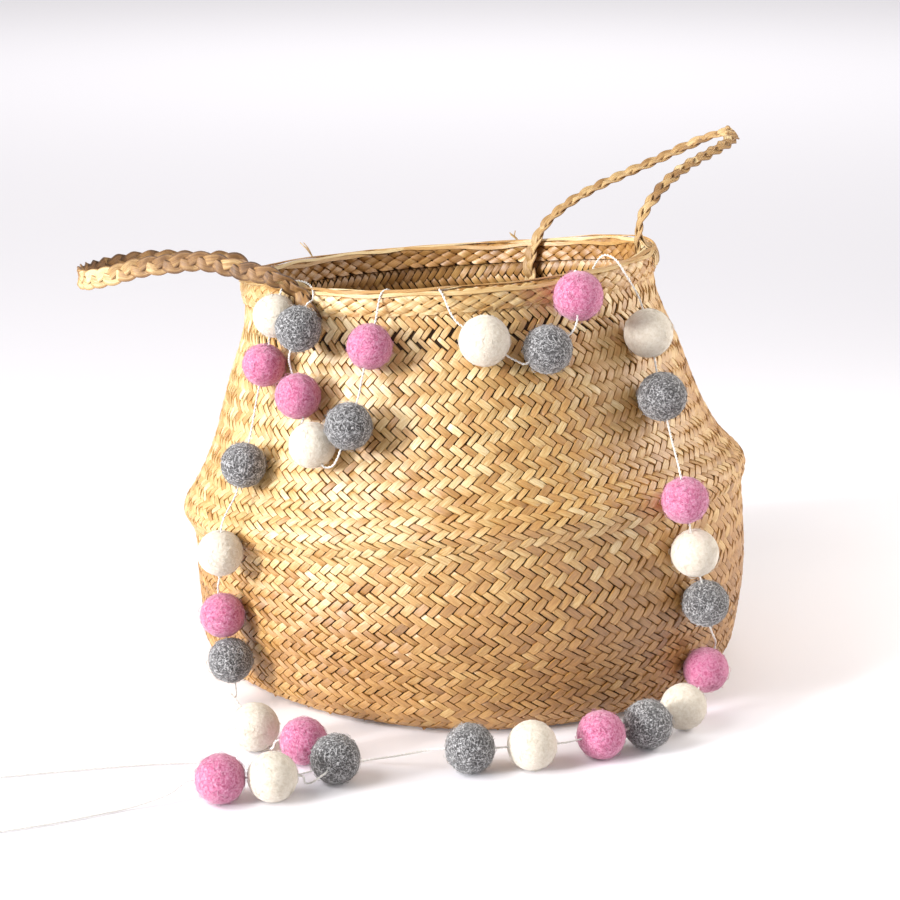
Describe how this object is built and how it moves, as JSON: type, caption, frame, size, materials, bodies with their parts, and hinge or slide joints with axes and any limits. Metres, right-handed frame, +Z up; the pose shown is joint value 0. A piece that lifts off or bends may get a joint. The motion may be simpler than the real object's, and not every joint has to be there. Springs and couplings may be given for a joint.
{
  "type": "felt ball garland on a woven straw basket",
  "caption": "Felt ball garland in pink, cream and grey on a white string, draped over a round woven straw belly basket with a slumped neck and two plaited handles.",
  "frame": {"origin": "centre of the basket's flat base, on the surface it stands on", "axes": "+Z up; -Y is the front, where the garland hangs; +X is to the right when seen from the front"},
  "size_m": [0.3817, 0.4171, 0.2794],
  "materials": {
    "pink_felt": "fuzzy wool felt",
    "cream_felt": "fuzzy wool felt",
    "grey_felt": "fuzzy marled wool felt",
    "string": "twisted white string",
    "straw": "herringbone-woven flat straw",
    "plaited_straw": "plaited flat straw"
  },
  "bodies": {
    "root": {"ball_01": "pink_felt", "ball_02": "cream_felt", "ball_03": "grey_felt", "ball_04": "pink_felt", "ball_05": "cream_felt", "ball_06": "grey_felt", "ball_07": "pink_felt", "ball_08": "cream_felt", "ball_09": "grey_felt", "ball_10": "pink_felt", "ball_11": "cream_felt", "ball_12": "grey_felt", "ball_13": "pink_felt", "ball_14": "cream_felt", "ball_15": "grey_felt", "ball_16": "pink_felt", "ball_17": "cream_felt", "ball_18": "grey_felt", "ball_19": "pink_felt", "ball_20": "cream_felt", "ball_21": "grey_felt", "ball_22": "pink_felt", "ball_23": "cream_felt", "ball_24": "grey_felt", "ball_25": "pink_felt", "ball_26": "cream_felt", "ball_27": "grey_felt", "ball_28": "pink_felt", "ball_29": "cream_felt", "ball_30": "grey_felt", "string": "string", "basket": "straw", "handle_left": "plaited_straw", "handle_right": "plaited_straw"}
  },
  "joints": []
}
